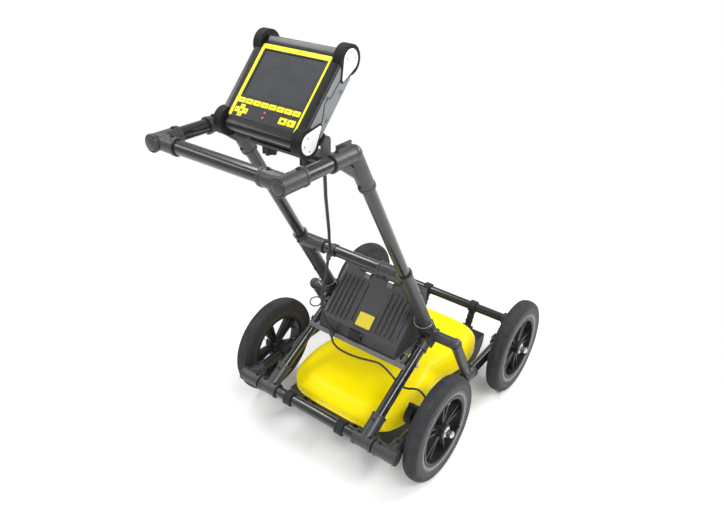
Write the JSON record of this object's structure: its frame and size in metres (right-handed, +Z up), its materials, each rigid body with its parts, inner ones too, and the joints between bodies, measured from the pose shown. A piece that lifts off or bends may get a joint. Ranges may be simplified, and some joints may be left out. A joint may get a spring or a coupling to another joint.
{
  "type": "ground penetrating radar cart",
  "caption": "Four-wheeled push cart for subsurface surveying: a radar sensor slung low between the wheels, a battery case, and a tilting screen at a folding handle.",
  "frame": {"origin": "on the ground under the middle of the cart's overall box", "axes": "+X to the cart's right, +Y forward away from the handlebar, +Z up"},
  "size_m": [0.6888, 1.052, 1.1568],
  "materials": {
    "tube": "gloss black glass-fibre tube",
    "fitting": "satin charcoal moulding",
    "tyre": "grey rubber",
    "rim": "black moulding",
    "steel": "bright steel",
    "case": "dark grey textured moulding",
    "tray": "grey paint",
    "shell": "bright yellow",
    "sled": "black wear plate",
    "display": "satin black",
    "bumper": "black rubber",
    "glass": "dark screen",
    "keypad": "yellow and black film",
    "key": "yellow",
    "lamp": "red lens",
    "lead": "black cable jacket",
    "strap": "black band",
    "board": "green circuit board",
    "battery": "black"
  },
  "bodies": {
    "chassis": {"cross_tubes": "tube", "side_rails": "tube", "corner_fittings": "fitting", "rear_tees": "fitting", "braces": "tube", "knuckles": "fitting", "axle_blocks": "fitting", "axle_pins": "steel", "fold_pins": "steel", "case_tray": "tray", "tray_knobs": "fitting", "hanger_straps": "strap", "odometer_housing": "fitting", "odometer_cable": "lead", "case_base": "case", "battery_pack": "battery"},
    "lid": {"case_lid": "case"},
    "latch": {"case_latch": "fitting"},
    "wheel_rear_left": {"tyre_rear_left": "tyre", "rim_rear_left": "rim"},
    "wheel_rear_right": {"tyre_rear_right": "tyre", "rim_rear_right": "rim", "odometer_shaft": "steel"},
    "wheel_front_left": {"tyre_front_left": "tyre", "rim_front_left": "rim"},
    "wheel_front_right": {"tyre_front_right": "tyre", "rim_front_right": "rim"},
    "handle": {"leg_tubes": "tube", "leg_sleeves": "fitting", "leg_cross_tube": "tube", "top_brackets": "fitting", "arm_tubes": "tube", "handlebar_elbows": "fitting", "handlebar": "tube", "lock_pins": "steel", "display_shelf": "fitting", "display_yoke": "fitting", "display_cable": "lead"},
    "knob_left": {"display_knob_left": "fitting"},
    "knob_right": {"display_knob_right": "fitting"},
    "display": {"display_front_case": "display", "display_back_case": "display", "display_bumpers": "bumper", "screen_panel": "glass", "keypad_panel": "keypad", "status_lamps": "lamp"},
    "sensor": {"sensor_shell": "shell", "sensor_sled": "sled", "antenna_boards": "board"},
    "press_function_key_1": {"function_key_1": "key"},
    "press_function_key_2": {"function_key_2": "key"},
    "press_function_key_3": {"function_key_3": "key"},
    "press_function_key_4": {"function_key_4": "key"},
    "press_function_key_5": {"function_key_5": "key"},
    "press_function_key_6": {"function_key_6": "key"},
    "press_function_key_7": {"function_key_7": "key"},
    "press_function_key_8": {"function_key_8": "key"},
    "press_action_key_left": {"action_key_left": "key"},
    "press_action_key_right": {"action_key_right": "key"},
    "press_nav_pad": {"nav_pad": "key"}
  },
  "joints": [
    {"name": "rear_left_spin", "type": "hinge", "parent": "chassis", "child": "wheel_rear_left", "pos_m": [-0.299, -0.0865, 0.1525], "axis": [1, 0, 0], "continuous": true},
    {"name": "rear_right_spin", "type": "hinge", "parent": "chassis", "child": "wheel_rear_right", "pos_m": [0.299, -0.0865, 0.1525], "axis": [1, 0, 0], "continuous": true},
    {"name": "front_left_spin", "type": "hinge", "parent": "chassis", "child": "wheel_front_left", "pos_m": [-0.299, 0.3735, 0.1525], "axis": [1, 0, 0], "continuous": true},
    {"name": "front_right_spin", "type": "hinge", "parent": "chassis", "child": "wheel_front_right", "pos_m": [0.299, 0.3735, 0.1525], "axis": [1, 0, 0], "continuous": true},
    {"name": "handle_fold", "type": "hinge", "parent": "chassis", "child": "handle", "pos_m": [0, 0.0555, 0.325], "axis": [-1, 0, 0], "range_deg": [0, 115], "deforming": ["display_cable"]},
    {"name": "display_tilt", "type": "hinge", "parent": "handle", "child": "display", "pos_m": [0, -0.3115, 0.97423], "axis": [1, 0, 0], "range_deg": [-20, 15]},
    {"name": "knob_left_spin", "type": "hinge", "parent": "handle", "child": "knob_left", "pos_m": [-0.053, -0.3155, 0.92422], "axis": [0, 0, 1], "continuous": true},
    {"name": "knob_right_spin", "type": "hinge", "parent": "handle", "child": "knob_right", "pos_m": [0.053, -0.3155, 0.92422], "axis": [0, 0, 1], "continuous": true},
    {"name": "function_key_1_press", "type": "slide", "parent": "display", "child": "press_function_key_1", "axis": [0, 0.7314, -0.682], "range_m": [0, 0.0006], "stiffness_N_per_m": 800, "springref_m": -0.0005},
    {"name": "function_key_2_press", "type": "slide", "parent": "display", "child": "press_function_key_2", "axis": [0, 0.7314, -0.682], "range_m": [0, 0.0006], "stiffness_N_per_m": 800, "springref_m": -0.0005},
    {"name": "function_key_3_press", "type": "slide", "parent": "display", "child": "press_function_key_3", "axis": [0, 0.7314, -0.682], "range_m": [0, 0.0006], "stiffness_N_per_m": 800, "springref_m": -0.0005},
    {"name": "function_key_4_press", "type": "slide", "parent": "display", "child": "press_function_key_4", "axis": [0, 0.7314, -0.682], "range_m": [0, 0.0006], "stiffness_N_per_m": 800, "springref_m": -0.0005},
    {"name": "function_key_5_press", "type": "slide", "parent": "display", "child": "press_function_key_5", "axis": [0, 0.7314, -0.682], "range_m": [0, 0.0006], "stiffness_N_per_m": 800, "springref_m": -0.0005},
    {"name": "function_key_6_press", "type": "slide", "parent": "display", "child": "press_function_key_6", "axis": [0, 0.7314, -0.682], "range_m": [0, 0.0006], "stiffness_N_per_m": 800, "springref_m": -0.0005},
    {"name": "function_key_7_press", "type": "slide", "parent": "display", "child": "press_function_key_7", "axis": [0, 0.7314, -0.682], "range_m": [0, 0.0006], "stiffness_N_per_m": 800, "springref_m": -0.0005},
    {"name": "function_key_8_press", "type": "slide", "parent": "display", "child": "press_function_key_8", "axis": [0, 0.7314, -0.682], "range_m": [0, 0.0006], "stiffness_N_per_m": 800, "springref_m": -0.0005},
    {"name": "action_key_left_press", "type": "slide", "parent": "display", "child": "press_action_key_left", "axis": [0, 0.7314, -0.682], "range_m": [0, 0.0006], "stiffness_N_per_m": 800, "springref_m": -0.0005},
    {"name": "action_key_right_press", "type": "slide", "parent": "display", "child": "press_action_key_right", "axis": [0, 0.7314, -0.682], "range_m": [0, 0.0006], "stiffness_N_per_m": 800, "springref_m": -0.0005},
    {"name": "nav_pad_press", "type": "slide", "parent": "display", "child": "press_nav_pad", "axis": [0, 0.7314, -0.682], "range_m": [0, 0.0006], "stiffness_N_per_m": 800, "springref_m": -0.0005},
    {"name": "lid_hinge", "type": "hinge", "parent": "chassis", "child": "lid", "pos_m": [0, 0.05533, 0.44532], "axis": [-1, 0, 0], "range_deg": [0, 78]},
    {"name": "latch_swing", "type": "hinge", "parent": "lid", "child": "latch", "pos_m": [0, -0.0695, 0.32157], "axis": [-1, 0, 0], "range_deg": [0, 100]},
    {"name": "sensor_float", "type": "slide", "parent": "chassis", "child": "sensor", "axis": [0, 0, 1], "range_m": [0, 0.02], "deforming": ["hanger_straps"]}
  ]
}
